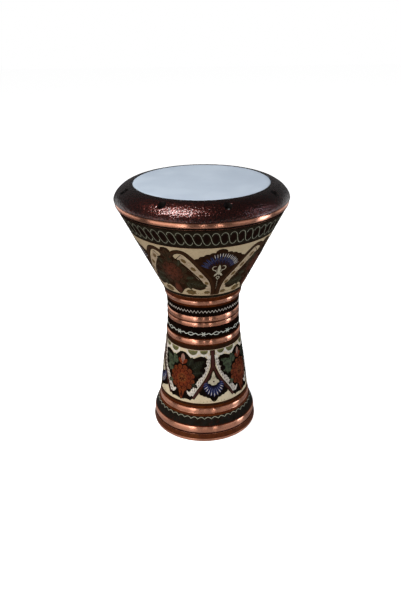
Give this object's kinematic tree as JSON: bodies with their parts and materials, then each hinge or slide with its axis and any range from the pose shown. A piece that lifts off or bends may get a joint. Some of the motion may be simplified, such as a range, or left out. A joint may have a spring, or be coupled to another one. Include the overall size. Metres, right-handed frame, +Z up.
{
  "type": "darbuka drum",
  "caption": "Goblet-shaped copper hand drum with painted floral enamel, a crowned metal tuning ring and a plastic head on an open foot.",
  "frame": {"origin": "middle of the foot's rim, on the surface the drum stands on", "axes": "+Z up along the drum's axis, from the foot to the head; +X to the right and -Y towards the player's view of the front"},
  "size_m": [0.277, 0.277, 0.4309],
  "materials": {
    "enamelled_copper": "painted and lacquered",
    "antiqued_copper": "polished beads with dark enamel between",
    "copper": "plain",
    "hammered_plate": "hammered, antique copper plate",
    "cast_aluminium": "as cast",
    "film": "satin",
    "black_steel": "black oxide",
    "zinc_steel": "zinc plated"
  },
  "bodies": {
    "shell": {"foot_skirt": "antiqued_copper", "shell_body": "enamelled_copper", "shell_bowl": "enamelled_copper", "neck_sleeve": "copper", "bearing_ring": "cast_aluminium", "lug_nut_1": "zinc_steel", "lug_nut_2": "zinc_steel", "lug_nut_3": "zinc_steel", "lug_nut_4": "zinc_steel", "lug_nut_5": "zinc_steel", "lug_nut_6": "zinc_steel", "lug_nut_7": "zinc_steel", "lug_nut_8": "zinc_steel"},
    "tuning_ring": {"tuning_ring": "hammered_plate", "flesh_hoop": "cast_aluminium", "drumhead_film": "film", "washer_1": "zinc_steel", "washer_2": "zinc_steel", "washer_3": "zinc_steel", "washer_4": "zinc_steel", "washer_5": "zinc_steel", "washer_6": "zinc_steel", "washer_7": "zinc_steel", "washer_8": "zinc_steel"},
    "tuning_bolt_1": {"tuning_bolt_1": "black_steel"},
    "tuning_bolt_2": {"tuning_bolt_2": "black_steel"},
    "tuning_bolt_3": {"tuning_bolt_3": "black_steel"},
    "tuning_bolt_4": {"tuning_bolt_4": "black_steel"},
    "tuning_bolt_5": {"tuning_bolt_5": "black_steel"},
    "tuning_bolt_6": {"tuning_bolt_6": "black_steel"},
    "tuning_bolt_7": {"tuning_bolt_7": "black_steel"},
    "tuning_bolt_8": {"tuning_bolt_8": "black_steel"}
  },
  "joints": [
    {"name": "tuning_travel", "type": "slide", "parent": "shell", "child": "tuning_ring", "axis": [0, 0, 1], "range_m": [0, 0.006]},
    {"name": "bolt_1_turn", "type": "hinge", "parent": "tuning_ring", "child": "tuning_bolt_1", "pos_m": [0.11712, 0.03693, 0.4134], "axis": [0, 0, 1], "range_deg": [0, 2160]},
    {"name": "bolt_2_turn", "type": "hinge", "parent": "tuning_ring", "child": "tuning_bolt_2", "pos_m": [0.0567, 0.10892, 0.4134], "axis": [0, 0, 1], "range_deg": [0, 2160]},
    {"name": "bolt_3_turn", "type": "hinge", "parent": "tuning_ring", "child": "tuning_bolt_3", "pos_m": [-0.03693, 0.11712, 0.4134], "axis": [0, 0, 1], "range_deg": [0, 2160]},
    {"name": "bolt_4_turn", "type": "hinge", "parent": "tuning_ring", "child": "tuning_bolt_4", "pos_m": [-0.10892, 0.0567, 0.4134], "axis": [0, 0, 1], "range_deg": [0, 2160]},
    {"name": "bolt_5_turn", "type": "hinge", "parent": "tuning_ring", "child": "tuning_bolt_5", "pos_m": [-0.11712, -0.03693, 0.4134], "axis": [0, 0, 1], "range_deg": [0, 2160]},
    {"name": "bolt_6_turn", "type": "hinge", "parent": "tuning_ring", "child": "tuning_bolt_6", "pos_m": [-0.0567, -0.10892, 0.4134], "axis": [0, 0, 1], "range_deg": [0, 2160]},
    {"name": "bolt_7_turn", "type": "hinge", "parent": "tuning_ring", "child": "tuning_bolt_7", "pos_m": [0.03693, -0.11712, 0.4134], "axis": [0, 0, 1], "range_deg": [0, 2160]},
    {"name": "bolt_8_turn", "type": "hinge", "parent": "tuning_ring", "child": "tuning_bolt_8", "pos_m": [0.10892, -0.0567, 0.4134], "axis": [0, 0, 1], "range_deg": [0, 2160]}
  ],
  "couplings": [
    {"joint": "bolt_1_turn", "follows": "tuning_travel", "rad_per_m": 6283.2},
    {"joint": "bolt_2_turn", "follows": "tuning_travel", "rad_per_m": 6283.2},
    {"joint": "bolt_3_turn", "follows": "tuning_travel", "rad_per_m": 6283.2},
    {"joint": "bolt_4_turn", "follows": "tuning_travel", "rad_per_m": 6283.2},
    {"joint": "bolt_5_turn", "follows": "tuning_travel", "rad_per_m": 6283.2},
    {"joint": "bolt_6_turn", "follows": "tuning_travel", "rad_per_m": 6283.2},
    {"joint": "bolt_7_turn", "follows": "tuning_travel", "rad_per_m": 6283.2},
    {"joint": "bolt_8_turn", "follows": "tuning_travel", "rad_per_m": 6283.2}
  ]
}
